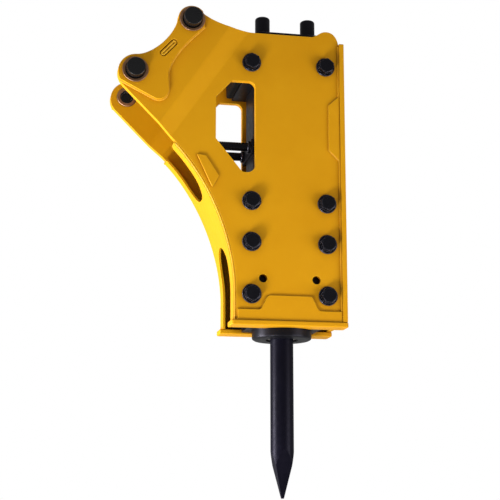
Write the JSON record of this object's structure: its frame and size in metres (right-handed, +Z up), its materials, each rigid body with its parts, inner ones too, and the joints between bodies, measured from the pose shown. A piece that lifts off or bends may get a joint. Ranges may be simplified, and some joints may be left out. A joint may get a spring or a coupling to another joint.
{
  "type": "hydraulic breaker hammer",
  "caption": "Hydraulic breaker for an excavator: bolted side-plate housing with two pin eyes, round hammer body with valve and piston, and a sliding moil-point chisel.",
  "frame": {"origin": "middle of the arm pin bore, half way between the two ears", "axes": "+Z up along the tool axis away from the chisel's point; +X from the pin eyes towards the rear plate; +Y across the machine along the pins"},
  "size_m": [0.7498, 0.3752, 1.578],
  "materials": {
    "housing_paint": "semi-gloss yellow enamel over plate and weld beads",
    "body_paint": "satin black enamel over castings",
    "black_oxide": "oiled black oxide",
    "bare_steel": "ground bare steel",
    "bush_steel": "turned and heat tinted steel",
    "plug_plastic": "smooth black moulded",
    "damper_rubber": "matt moulded rubber",
    "tool_steel": "black painted tool steel with ground point"
  },
  "bodies": {
    "breaker": {"arm_bush_far": "bush_steel", "arm_bush_near": "bush_steel", "back_head": "body_paint", "bottom_flange_far": "housing_paint", "bottom_flange_near": "housing_paint", "cylinder": "body_paint", "damper_pad": "damper_rubber", "eye_doubler_far": "housing_paint", "eye_doubler_near": "housing_paint", "foot_pad_far": "housing_paint", "foot_pad_near": "housing_paint", "front_head": "body_paint", "front_plate": "housing_paint", "gas_valve": "bare_steel", "link_bush_far": "bush_steel", "link_bush_near": "bush_steel", "port_adaptor_in": "black_oxide", "port_adaptor_out": "black_oxide", "rear_pad_far": "housing_paint", "rear_pad_near": "housing_paint", "rear_plate": "housing_paint", "rod_pin_far": "bare_steel", "rod_pin_near": "bare_steel", "seal_retainer": "bare_steel", "side_bolt_1": "black_oxide", "side_bolt_2": "black_oxide", "side_bolt_3": "black_oxide", "side_bolt_4": "black_oxide", "side_bolt_5": "black_oxide", "side_bolt_6": "black_oxide", "side_bolt_7": "black_oxide", "side_bolt_8": "black_oxide", "side_nut_1": "black_oxide", "side_nut_2": "black_oxide", "side_nut_3": "black_oxide", "side_nut_4": "black_oxide", "side_nut_5": "black_oxide", "side_nut_6": "black_oxide", "side_nut_7": "black_oxide", "side_nut_8": "black_oxide", "side_plate_far": "housing_paint", "side_plate_near": "housing_paint", "stop_pin_left": "bare_steel", "stop_pin_right": "bare_steel", "thrust_bush": "bare_steel", "tie_bolt_1": "black_oxide", "tie_bolt_2": "black_oxide", "tie_bolt_3": "black_oxide", "tie_bolt_4": "black_oxide", "tool_bush": "bare_steel", "valve_cap": "body_paint", "valve_case": "body_paint"},
    "chisel": {"chisel": "tool_steel"},
    "piston": {"piston": "bare_steel"},
    "valve_spool": {"valve_spool": "bare_steel"},
    "arm_plug_near": {"arm_plug_near": "plug_plastic"},
    "arm_plug_far": {"arm_plug_far": "plug_plastic"},
    "link_plug_near": {"link_plug_near": "plug_plastic"},
    "link_plug_far": {"link_plug_far": "plug_plastic"}
  },
  "joints": [
    {"name": "chisel_slide", "type": "slide", "parent": "breaker", "child": "chisel", "axis": [0, 0, 1], "range_m": [0, 0.06]},
    {"name": "piston_slide", "type": "slide", "parent": "breaker", "child": "piston", "axis": [0, 0, 1], "range_m": [0, 0.08]},
    {"name": "spool_slide", "type": "slide", "parent": "breaker", "child": "valve_spool", "axis": [0, 0, 1], "range_m": [0, 0.018]},
    {"name": "arm_plug_near_pull", "type": "slide", "parent": "breaker", "child": "arm_plug_near", "axis": [0, -1, 0], "range_m": [0, 0.05]},
    {"name": "arm_plug_far_pull", "type": "slide", "parent": "breaker", "child": "arm_plug_far", "axis": [0, 1, 0], "range_m": [0, 0.05]},
    {"name": "link_plug_near_pull", "type": "slide", "parent": "breaker", "child": "link_plug_near", "axis": [0, -1, 0], "range_m": [0, 0.05]},
    {"name": "link_plug_far_pull", "type": "slide", "parent": "breaker", "child": "link_plug_far", "axis": [0, 1, 0], "range_m": [0, 0.05]}
  ]
}
